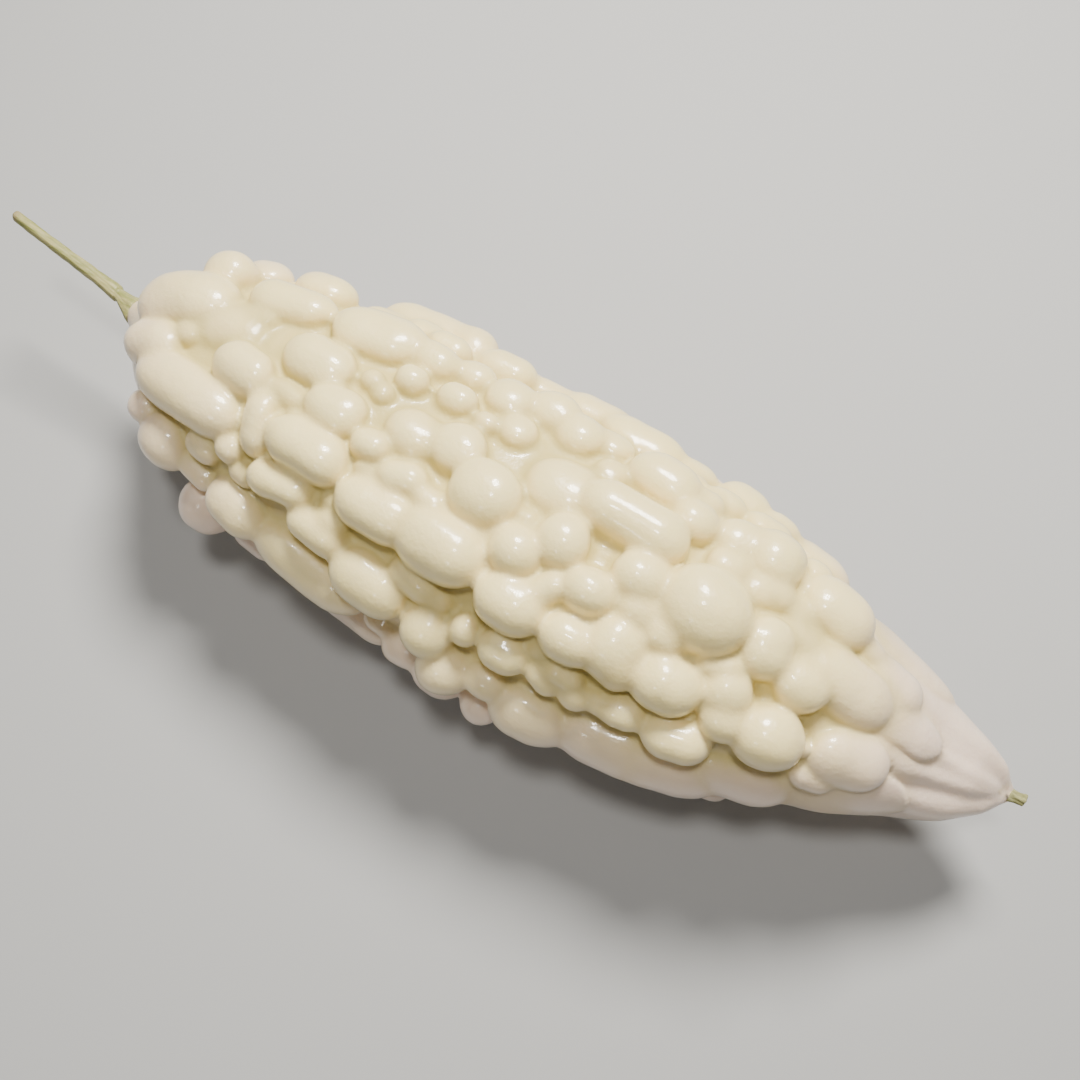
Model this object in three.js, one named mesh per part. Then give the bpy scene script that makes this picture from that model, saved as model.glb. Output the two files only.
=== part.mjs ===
// A white bitter gourd, lying on its warts, as picked. Millimetres, +Z up.
// The fruit lies along X, stem end towards -X and blossom end towards +X.
// Station s is the distance along the fruit from its stem end. Angle a is the turn about
// its long axis, in degrees, from straight up (0) towards +Y (90).

import * as THREE from "three";

// The plain body under the warts: its length, and its radius at shares of that length.
const FRUIT_LENGTH = 250;
const BODY_SHARE = [0, 0.02, 0.06, 0.12, 0.2, 0.3, 0.42, 0.55, 0.66, 0.76, 0.85, 0.93, 0.98, 1];
const BODY_RADIUS = [3.3, 6.8, 16.3, 24, 28.5, 31.5, 32.8, 33.4, 31.5, 27.3, 20.9, 13.8, 7.8, 2.8];

// The body's long axis: its height, the droop of its tip, and how far it stands off towards
// +Y at some stations, because it bows a little.
const AXIS_HEIGHT = 40;
const TIP_DROOP = 6;
const DROOP_START = 0.55;
const AXIS_STATION = [0, 20, 60, 100, 140, 180, 212, 232, 250];
const AXIS_SIDE = [1.7, -0.5, -2, -3.4, -4.2, -3.7, -3.2, -2, 0.6];

// The warts stay back from the stalk: nothing of them is past the stem end this near the axis.
const NECK_CLEARANCE = 4.5;

// Puckers run into the blossom end: angle, depth and width of each groove.
const PUCKERS = [
  [6, 1.6, 2.4], [19, 1, 2.2], [-14, 1.2, 2.4], [-39, 2, 3], [78, 1.4, 3], [140, 1.8, 3],
  [-150, 1.8, 3], [-115, 1.2, 3],
];
const PUCKER_START = 208;
const PUCKER_FULL = 228;
const PUCKER_SHARE = 0.22;

// Large warts, along the fruit from the stem end: station, angle, length, width, turn of the
// length towards +Y in degrees, height above the body. Sizes run to the middle of the creases.
const LARGE_WARTS = [
  [23, -22, 20, 13, 20, 6.5], [24, 13, 31, 18, 15, 7], [26, -60, 9, 9, 0, 5.5],
  [28, 43, 15, 14, 0, 8], [31, -6, 7, 6, 0, 3], [33, 62, 14, 13, 0, 6],
  [35, -67, 16, 16, -5, 7.5], [38, 9, 22, 16, 0, 3], [39, -32, 36, 15, 2, 7.5],
  [45, 20, 8, 6, 0, 2.5], [46, -70, 12, 7, -15, 4], [47, -98, 17, 14, -60, 10],
  [47, -52, 11, 9, 0, 4], [49, 33, 24, 13, 10, 6], [49, 62, 18, 14, 0, 6.5],
  [50, -9, 18, 13, -8, 6], [55, -42, 8, 8, 0, 4.5], [60, -69, 19, 14, -15, 7.5],
  [60, -50, 8, 6, 0, 3], [60, -25, 17, 9, -75, 5], [61, -105, 16, 10, 0, 6],
  [61, -9, 7, 6, 0, 3], [65, -10, 7, 6, 0, 3], [65, 10, 20, 14, -3, 5],
  [66, 65, 16, 10, 0, 3.5], [71, -42, 19, 10, 12, 6], [72, 36, 26, 17, 8, 7],
  [74, -103, 13, 9, 0, 5.5], [74, -24, 23, 14, -3, 7.5], [75, -5, 16, 13, 0, 5.5],
  [77, 62, 12, 9, 0, 5], [78, 14, 6, 6, 0, 3], [78, 74, 34, 12, 0, 8],
  [82, -77, 34, 16, -9, 7], [82, 11, 5, 5, 0, 2.5], [83, -51, 18, 11, -8, 6],
  [84, -37, 6, 5, 0, 2.5], [85, 55, 13, 9, 0, 5.5], [86, -44, 8, 7, 0, 4],
  [86, 22, 9, 8, 0, 5], [87, -10, 10, 8, 0, 5], [87, 37, 13, 11, 0, 6],
  [88, 72, 13, 13, 0, 8.5], [89, -19, 7, 5, 0, 3], [94, 2, 15, 14, 0, 4],
  [95, -30, 22, 14, 0, 7], [96, 42, 11, 10, 0, 5], [97, -15, 13, 9, 20, 5],
  [97, 24, 11, 9, 0, 5], [99, -59, 22, 16, -8, 8], [99, 64, 17, 12, 0, 7],
  [101, -93, 10, 8, 0, 4], [104, 6, 14, 14, 0, 5], [105, -17, 9, 7, 0, 4.5],
  [106, 21, 7, 6, 0, 3.5], [107, 38, 13, 13, 0, 6], [109, -98, 14, 12, 0, 7.5],
  [109, -47, 14, 9, -10, 4], [111, 70, 16, 10, 0, 5], [112, -29, 24, 17, 0, 8.5],
  [113, 25, 10, 10, 0, 4], [115, -5, 18, 17, 0, 7.5], [116, -64, 14, 15, 0, 8],
  [116, -49, 7, 6, 0, 3], [117, 43, 14, 13, 0, 6.5], [118, -17, 9, 7, 10, 3.5],
  [119, -98, 16, 14, 0, 9], [122, -78, 15, 16, 0, 10], [124, -54, 8, 10, 0, 5],
  [124, 68, 22, 14, 0, 6.5], [125, 38, 13, 13, 0, 6], [126, -5, 5, 5, 0, 3],
  [127, -17, 13, 13, 0, 7], [129, 12, 20, 18, 0, 4.5], [131, -34, 18, 15, 0, 8.5],
  [132, -98, 12, 12, 0, 9], [132, -74, 12, 10, 0, 6], [132, 43, 12, 10, 0, 4.5],
  [134, -53, 13, 11, -5, 6.5], [135, -6, 13, 14, 0, 6.5], [136, 29, 9, 8, 0, 3],
  [137, -23, 11, 8, 55, 5], [137, 60, 24, 14, 0, 6.5], [141, -45, 6, 7, 0, 3],
  [144, -82, 22, 18, -12, 8.5], [144, -56, 10, 7, -32, 4.5], [145, -17, 13, 12, 0, 6.5],
  [146, -35, 15, 13, 0, 7.5], [146, 13, 28, 14, -3, 7.5], [147, 37, 19, 15, -5, 7.5],
  [148, -108, 9, 9, 0, 5], [148, -50, 10, 7, -8, 4], [151, 61, 13, 12, 0, 5],
  [152, -57, 8, 8, 0, 4.5], [152, 50, 9, 8, 0, 4], [153, -4, 14, 13, 0, 6.5],
  [155, -31, 15, 17, 0, 7.5], [156, -14, 11, 10, 0, 5], [157, 27, 12, 11, 0, 6],
  [157, 38, 10, 9, 0, 5.5], [158, -55, 8, 7, 0, 4], [158, -36, 9, 12, 0, 6.5],
  [160, 47, 12, 9, 0, 5], [162, -84, 28, 20, 0, 6.5], [163, -54, 11, 9, 0, 5.5],
  [163, -18, 11, 10, 0, 5.5], [164, 62, 15, 13, 0, 6], [168, -34, 17, 15, 0, 8],
  [168, -3, 22, 22, 0, 9.5], [168, 17, 11, 10, 0, 4.5], [168, 31, 14, 12, 0, 6],
  [172, 47, 14, 9, 0, 5], [174, 58, 12, 10, 0, 5.5], [175, -54, 17, 12, 12, 7.5],
  [176, -84, 28, 20, 0, 6.5], [176, -19, 11, 6, 22, 4], [176, 15, 9, 9, 0, 4],
  [176, 32, 16, 16, 0, 8], [180, -27, 12, 12, 0, 6], [180, 19, 9, 9, 0, 4],
  [182, -37, 12, 12, 0, 6.5], [183, -4, 15, 13, -75, 6], [185, 43, 9, 8, 0, 4.5],
  [185, 61, 20, 15, -10, 4.5], [186, 18, 8, 8, 0, 3], [189, 7, 12, 12, 0, 3],
  [192, -75, 28, 18, 4, 3.8], [192, -37, 17, 17, 0, 8.5], [193, -10, 14, 13, 0, 5.5],
  [193, 30, 20, 15, -6, 7], [202, 1, 26, 15, -5, 4.5], [204, -82, 24, 14, 0, 1.5],
  [204, 27, 8, 7, 0, 3], [205, -51, 11, 8, 0, 3.5], [210, -34, 20, 15, 6, 5],
  [212, 22, 16, 11, -12, 3], [214, 60, 28, 12, 0, 1], [216, -62, 26, 18, 2, 1.2],
  [218, 2, 24, 10, -4, 1.1],
];

// The low warts that the gourd rests on. The surface it lies on flattens them.
const FOOT_WARTS = [
  [118, 180, 22, 18, 0, 9.5], [76, 170, 20, 15, 0, 10], [84, -167, 18, 14, 0, 10],
  [160, 170, 22, 15, 0, 11.5], [156, -168, 20, 14, 0, 11],
];

// Smaller warts fill the far side and the underside by rule, the largest first.
const FILL_SIZES = [
  { tries: 500, length: 27, width: 15, height: 7 },
  { tries: 700, length: 16, width: 13, height: 6.5 },
  { tries: 500, length: 10, width: 9, height: 4.5 },
  { tries: 600, length: 6, width: 6, height: 3 },
];
const FILL_STATIONS = { from: 24, to: 194 };
const FILL_ANGLES = { from: 90, to: 252 };
const FILL_SPREAD = 0.3;
const FILL_TURN = 30;
const FILL_CLEARANCE = 0.9;
const FILL_SEED = 20;

// A wart is a pod: a straight middle with round ends and bulging sides.
const WART_LENGTH_SHARE = 0.93;
const WART_WIDTH_SHARE = 0.89;
const WART_HEIGHT_SHARE = 1.08;
const POD_STRAIGHTNESS = 0.75;
const POD_DEPTH_SHARE = 0.66;
const POD_DEPTH_OF_WIDTH = 0.3;
const CREASE_RADIUS = 0.7;
const MAX_LENGTHWISE_CURVE = 0.05;
const CURVE_REACH = 6;
const MIN_ROUND_RADIUS = 8;

// The search for the skin along a ray: where it starts, its first steps, how often the last of
// them is halved, and how far a wart's skin may be from the body's where the ray leaves that.
const SEARCH_START = 46;
const SEARCH_STEP = 0.5;
const SEARCH_HALVINGS = 12;
const WART_REACH = 15;

// The skin's rings, and the stations between which they stand square to the axis. Beyond
// those the rings fan out over both ends.
const RINGS = 63;
const RING_SIDES = 88;
const FAN_STEM = { station: 18, arc: 34 };
const FAN_TIP = { station: 236, arc: 18 };

// The cut stalk: the route of its middle from the fruit, and its radius at shares of that
// route. It widens into the neck and has a joint a little way up.
const STEM_ROUTE = [
  [-0.4, 1.7, 40], [-2.5, 2.3, 40.4], [-6.2, 3.4, 41.2], [-13, 4.4, 42.3], [-22, 5.4, 43.8],
  [-32, 6.6, 45.2], [-40.8, 7.8, 46],
];
const STEM_RADII = [
  [0, 3.4], [0.03, 3.1], [0.06, 2.75], [0.09, 2.4], [0.125, 2.05], [0.145, 1.9], [0.165, 2.2],
  [0.185, 2.15], [0.21, 2.05], [0.3, 1.85], [0.5, 1.65], [0.8, 1.5], [0.97, 1.4], [1, 1.15],
];
const STEM_RINGS = 30;
const STEM_SIDES = 12;

// The dry remnant of the blossom at the tip.
const REMNANT_ROUTE = [[0.3, 0, 0], [1.6, 0.2, 0.1], [3.2, 0.5, 0.4]];
const REMNANT_RADII = [[0, 1.6], [0.4, 1.35], [0.75, 1.6], [1, 1.3]];
const REMNANT_RINGS = 7;
const REMNANT_SIDES = 10;

// The fruit, stem and remnant are built from the stem end, then set about the origin.
const ORIGIN = new THREE.Vector3(106.2, -4.7, 0);

const RADIANS = Math.PI / 180;

// Height at q of the smooth curve through the points (x, y).
function smoothCurve(x, y, q) {
  const last = x.length - 1;
  let i = 0;
  while (i < last - 1 && q >= x[i + 1]) i += 1;
  const slope = (k) => {
    const before = Math.max(k - 1, 0);
    const after = Math.min(k + 1, last);
    return (y[after] - y[before]) / (x[after] - x[before]);
  };
  const span = x[i + 1] - x[i];
  const w = THREE.MathUtils.clamp((q - x[i]) / span, 0, 1);
  const rise = w * w * (3 - 2 * w);
  return (1 - rise) * y[i] + rise * y[i + 1]
    + span * w * (1 - w) * ((1 - w) * slope(i) - w * slope(i + 1));
}

function bodyRadius(s) {
  return smoothCurve(BODY_SHARE, BODY_RADIUS, s / FRUIT_LENGTH);
}

// How deep the puckers are cut at a station and angle.
function puckerDepth(s, a) {
  const fade = THREE.MathUtils.smoothstep(s, PUCKER_START, PUCKER_FULL);
  if (fade === 0) return 0;
  const radius = bodyRadius(s);
  let depth = 0;
  for (const [angle, deepest, width] of PUCKERS) {
    const turn = a - angle * RADIANS;
    const away = Math.atan2(Math.sin(turn), Math.cos(turn)) * radius / width;
    depth += Math.min(deepest, radius * PUCKER_SHARE) * Math.exp(-away * away);
  }
  return depth * fade;
}

// The long axis at a station.
function axisPoint(s) {
  const t = THREE.MathUtils.clamp(s / FRUIT_LENGTH, 0, 1);
  const droop = THREE.MathUtils.clamp((t - DROOP_START) / (1 - DROOP_START), 0, 1);
  const side = smoothCurve(AXIS_STATION, AXIS_SIDE, s);
  return new THREE.Vector3(s, side, AXIS_HEIGHT - TIP_DROOP * droop * droop);
}

// The plain body's surface at a station and angle in radians.
function bodyPoint(s, a) {
  const r = bodyRadius(s);
  return axisPoint(s).add(new THREE.Vector3(0, r * Math.sin(a), r * Math.cos(a)));
}

// Signed distance to the plain body.
function bodyDistance(p) {
  const s = THREE.MathUtils.clamp(p.x, 0, FRUIT_LENGTH);
  const c = axisPoint(s);
  const a = Math.atan2(p.y - c.y, p.z - c.z);
  const slope = (bodyRadius(s + 1) - bodyRadius(s - 1)) / 2;
  const side = Math.hypot(p.y - c.y, p.z - c.z) - bodyRadius(s) + puckerDepth(s, a);
  return Math.max(side / Math.hypot(1, slope), -p.x, p.x - FRUIT_LENGTH);
}

// Even numbers from 0 to 1, the same on every run.
function seededDraw(seed) {
  let state = seed;
  return () => {
    state = (Math.imul(state, 1664525) + 1013904223) >>> 0;
    return state / 2 ** 32;
  };
}

// How far two warts stand apart along the skin, where 1 is touching.
function spacing(one, two) {
  const round = (one[1] - two[1]) * RADIANS;
  const across = Math.atan2(Math.sin(round), Math.cos(round)) * bodyRadius((one[0] + two[0]) / 2);
  return Math.hypot(2 * (one[0] - two[0]) / (one[2] + two[2]), 2 * across / (one[3] + two[3]));
}

// All warts: the large ones, those it rests on, and smaller ones by rule, where there is room.
function placeWarts() {
  const warts = [...LARGE_WARTS, ...FOOT_WARTS];
  const draw = seededDraw(FILL_SEED);
  for (const size of FILL_SIZES) {
    for (let i = 0; i < size.tries; i += 1) {
      const s = THREE.MathUtils.lerp(FILL_STATIONS.from, FILL_STATIONS.to, draw());
      const a = THREE.MathUtils.lerp(FILL_ANGLES.from, FILL_ANGLES.to, draw());
      const scale = 1 + (draw() - 0.5) * FILL_SPREAD;
      const turn = (draw() - 0.5) * FILL_TURN;
      const wart = [s, a, size.length * scale, size.width * scale, turn, size.height * scale];
      if (warts.every((other) => spacing(wart, other) > FILL_CLEARANCE)) warts.push(wart);
    }
  }
  return warts;
}

// A wart in its own frame on the skin, with its half sizes and how the body curves under it.
function makeWart([s, degrees, length, width, turnDegrees, height]) {
  const a = degrees * RADIANS;
  const turn = turnDegrees * RADIANS;
  const foot = bodyPoint(s, a);
  const ahead = bodyPoint(s + CURVE_REACH, a);
  const behind = bodyPoint(s - CURVE_REACH, a);
  const along = bodyPoint(s + 0.5, a).sub(bodyPoint(s - 0.5, a)).normalize();
  const round = new THREE.Vector3(0, Math.cos(a), -Math.sin(a));
  const out = new THREE.Vector3().crossVectors(along, round).normalize();
  round.crossVectors(out, along);
  const drop = -ahead.lerp(behind, 0.5).sub(foot).dot(out);
  const l = length * WART_LENGTH_SHARE;
  const b = width * WART_WIDTH_SHARE;
  const h = height * WART_HEIGHT_SHARE;
  const depth = Math.min(Math.max(h * POD_DEPTH_SHARE, b * POD_DEPTH_OF_WIDTH), h);
  const straight = Math.max(l - b, 0) / 2 * POD_STRAIGHTNESS;
  return {
    foot, along, round, out, straight, depth,
    lengthways: along.clone().multiplyScalar(Math.cos(turn)).addScaledVector(round, Math.sin(turn)),
    crossways: round.clone().multiplyScalar(Math.cos(turn)).addScaledVector(along, -Math.sin(turn)),
    curveAlong: THREE.MathUtils.clamp(2 * drop / CURVE_REACH ** 2, 0, MAX_LENGTHWISE_CURVE),
    curveRound: 1 / Math.max(bodyRadius(s), MIN_ROUND_RADIUS),
    halfLength: l / 2 - straight,
    halfWidth: b / 2,
    lift: h - depth,
    reach: Math.max(l, b) / 2 + h + WART_REACH,
  };
}

// Signed distance to one wart: an ellipsoid with a straight middle, laid over the body's curve.
function wartDistance(wart, p) {
  const q = p.clone().sub(wart.foot);
  const along = q.dot(wart.along);
  const round = q.dot(wart.round);
  const bend = 0.5 * (wart.curveAlong * along * along + wart.curveRound * round * round);
  const up = (q.dot(wart.out) + bend - wart.lift) / wart.depth;
  const long = Math.max(Math.abs(q.dot(wart.lengthways)) - wart.straight, 0) / wart.halfLength;
  const wide = q.dot(wart.crossways) / wart.halfWidth;
  const share = Math.hypot(long, wide, up);
  const steep = Math.hypot(long / wart.halfLength, wide / wart.halfWidth, up / wart.depth);
  return share * (share - 1) / Math.max(steep, Number.EPSILON);
}

// Signed distance to body and warts together, with the creases between them rounded and the
// stalk's place left free.
function fruitDistance(p, warts) {
  const distances = [bodyDistance(p), ...warts.map((wart) => wartDistance(wart, p))];
  const least = Math.min(...distances);
  const sum = distances.reduce((total, d) => total + Math.exp((least - d) / CREASE_RADIUS), 0);
  const fromNeck = Math.hypot(p.y - AXIS_SIDE[0], p.z - AXIS_HEIGHT);
  const neck = Math.min(NECK_CLEARANCE - fromNeck, -p.x);
  return Math.max(least - CREASE_RADIUS * Math.log(sum), neck);
}

// Where a ray from the axis leaves the skin for good, flattened where the gourd lies.
function skinPoint(origin, direction, warts) {
  const at = (r) => origin.clone().addScaledVector(direction, r);
  let body = SEARCH_START;
  while (bodyDistance(at(body)) > 0) body -= SEARCH_STEP;
  const near = warts.filter((wart) => wart.foot.distanceTo(at(body)) < wart.reach);
  let inside = body + WART_REACH;
  while (fruitDistance(at(inside), near) > 0) inside -= SEARCH_STEP;
  let outside = inside + SEARCH_STEP;
  for (let i = 0; i < SEARCH_HALVINGS; i += 1) {
    const halfway = (inside + outside) / 2;
    if (fruitDistance(at(halfway), near) > 0) outside = halfway;
    else inside = halfway;
  }
  const point = at(inside);
  point.z = Math.max(point.z, 0);
  return point;
}

// One closed surface through rings of points, each end closed at a point of its own.
function closedRings(rings, start, end) {
  const sides = rings[0].length;
  const positions = rings.flat().concat([start, end]).flatMap((p) => [p.x, p.y, p.z]);
  const index = [];
  for (let i = 0; i < rings.length - 1; i += 1) {
    for (let j = 0; j < sides; j += 1) {
      const next = (j + 1) % sides;
      const [a, b] = [i * sides + j, i * sides + next];
      const [c, d] = [a + sides, b + sides];
      if ((i + j) % 2 === 0) index.push(a, c, b, b, c, d);
      else index.push(a, c, d, a, d, b);
    }
  }
  const lastRing = (rings.length - 1) * sides;
  const startVertex = rings.length * sides;
  for (let j = 0; j < sides; j += 1) {
    const next = (j + 1) % sides;
    index.push(startVertex, j, next, startVertex + 1, lastRing + next, lastRing + j);
  }
  const geometry = new THREE.BufferGeometry();
  geometry.setAttribute("position", new THREE.Float32BufferAttribute(positions, 3));
  geometry.setIndex(index);
  geometry.computeVertexNormals();
  return geometry;
}

// The fruit's skin: rings square to the axis along the body, fanned over both ends.
function fruitGeometry() {
  const warts = placeWarts().map(makeWart);
  const straight = FAN_TIP.station - FAN_STEM.station;
  const total = FAN_STEM.arc + straight + FAN_TIP.arc;
  const rings = [];
  for (let i = 1; i < RINGS - 1; i += 1) {
    const walked = total * i / (RINGS - 1) - FAN_STEM.arc;
    const origin = axisPoint(FAN_STEM.station + THREE.MathUtils.clamp(walked, 0, straight));
    const before = Math.min(walked, 0) / FAN_STEM.arc;
    const after = Math.max(walked - straight, 0) / FAN_TIP.arc;
    const tilt = (before + after) * Math.PI / 2;
    const ring = [];
    for (let j = 0; j < RING_SIDES; j += 1) {
      const a = 2 * Math.PI * j / RING_SIDES;
      const square = new THREE.Vector3(0, Math.sin(a), Math.cos(a)).multiplyScalar(Math.cos(tilt));
      const direction = square.add(new THREE.Vector3(Math.sin(tilt), 0, 0));
      ring.push(skinPoint(origin, direction, warts));
    }
    rings.push(ring);
  }
  return closedRings(rings, axisPoint(0), axisPoint(FRUIT_LENGTH));
}

// A round stalk along a route near X, with its radius given at shares of the route. Its rings
// are square to X, so that its ends lie flat against the fruit's.
function stalkGeometry(route, radii, rings, sides) {
  const curve = new THREE.CatmullRomCurve3(route.map((p) => new THREE.Vector3(...p)));
  const shares = radii.map(([share]) => share);
  const sizes = radii.map(([, size]) => size);
  const side = Math.sign(route[0][0] - route[1][0]);
  const section = (t) => {
    const middle = curve.getPointAt(t);
    const radius = smoothCurve(shares, sizes, t);
    return Array.from({ length: sides }, (_, j) => {
      const a = 2 * Math.PI * j / sides;
      const spoke = new THREE.Vector3(0, side * radius * Math.cos(a), radius * Math.sin(a));
      return spoke.add(middle);
    });
  };
  const sections = Array.from({ length: rings }, (_, i) => section(i / (rings - 1)));
  return closedRings(sections, curve.getPointAt(0), curve.getPointAt(1));
}

function stemGeometry() {
  return stalkGeometry(STEM_ROUTE, STEM_RADII, STEM_RINGS, STEM_SIDES);
}

function remnantGeometry() {
  const tip = axisPoint(FRUIT_LENGTH);
  const route = REMNANT_ROUTE.map(([x, y, z]) => [tip.x + x, tip.y + y, tip.z + z]);
  return stalkGeometry(route, REMNANT_RADII, REMNANT_RINGS, REMNANT_SIDES);
}

function piece(name, geometry, color, roughness) {
  const material = new THREE.MeshStandardMaterial({ color, roughness, metalness: 0 });
  const mesh = new THREE.Mesh(geometry, material);
  mesh.name = name;
  return mesh;
}

const gourd = new THREE.Group();
gourd.add(piece("fruit", fruitGeometry(), 0xece6cf, 0.3));
gourd.add(piece("stem", stemGeometry(), 0xcdd39a, 0.6));
gourd.add(piece("blossom_remnant", remnantGeometry(), 0xb9ad84, 0.8));
gourd.position.copy(ORIGIN).negate();

export default gourd;
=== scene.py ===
"""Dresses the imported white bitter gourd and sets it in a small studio.

The gourd lies along X, from its stalk (-X) to its blossom end (+X), on its low warts at z = 0.
Three pieces stand for the three solids of the frame: the warty skin, the ribbed stalk and the
dry remnant of the blossom. Shapes are worked out in millimetres, in the gourd's own stations
and angles, and are put into the meshes in metres in the row frame.
"""

import json
import logging
import math
from collections.abc import Callable, Iterator
from dataclasses import dataclass, field
from enum import Enum

import bpy
import numpy as np
from mathutils import Matrix, Vector


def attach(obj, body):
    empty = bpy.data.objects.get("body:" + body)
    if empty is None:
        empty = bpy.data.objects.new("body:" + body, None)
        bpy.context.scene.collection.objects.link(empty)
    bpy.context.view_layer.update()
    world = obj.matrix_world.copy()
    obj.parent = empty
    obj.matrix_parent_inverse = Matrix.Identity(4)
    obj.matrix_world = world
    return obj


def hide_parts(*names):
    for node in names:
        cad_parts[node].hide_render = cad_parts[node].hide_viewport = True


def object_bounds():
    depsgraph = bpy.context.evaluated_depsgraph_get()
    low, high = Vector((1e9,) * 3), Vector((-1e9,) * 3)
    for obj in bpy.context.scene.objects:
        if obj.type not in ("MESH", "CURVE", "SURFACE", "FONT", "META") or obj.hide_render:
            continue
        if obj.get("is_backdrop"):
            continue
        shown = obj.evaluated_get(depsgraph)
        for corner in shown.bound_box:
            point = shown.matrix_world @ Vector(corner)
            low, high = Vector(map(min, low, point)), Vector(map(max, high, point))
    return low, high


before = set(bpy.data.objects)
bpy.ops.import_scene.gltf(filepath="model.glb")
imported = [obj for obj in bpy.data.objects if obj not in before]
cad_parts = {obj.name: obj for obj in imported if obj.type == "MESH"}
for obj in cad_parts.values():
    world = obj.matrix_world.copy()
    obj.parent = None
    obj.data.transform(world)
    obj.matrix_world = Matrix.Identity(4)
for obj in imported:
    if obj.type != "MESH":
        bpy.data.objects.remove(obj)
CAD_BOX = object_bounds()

log = logging.getLogger("bitter_gourd")

METRES = 0.001
BODY = "root"

# Keeps a division by a length from failing where that length is nothing.
TINY = 1e-6

Pair = tuple[float, float]
Triple = tuple[float, float, float]

# Takes shares of the way along a piece and angles round it, and gives factors for its radius.
Shape = Callable[[np.ndarray, np.ndarray], np.ndarray]

# Where the gourd's own frame, with its origin under the stem end, has the row frame's origin.
ORIGIN = np.array([106.2, -4.7, 0.0])

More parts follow.
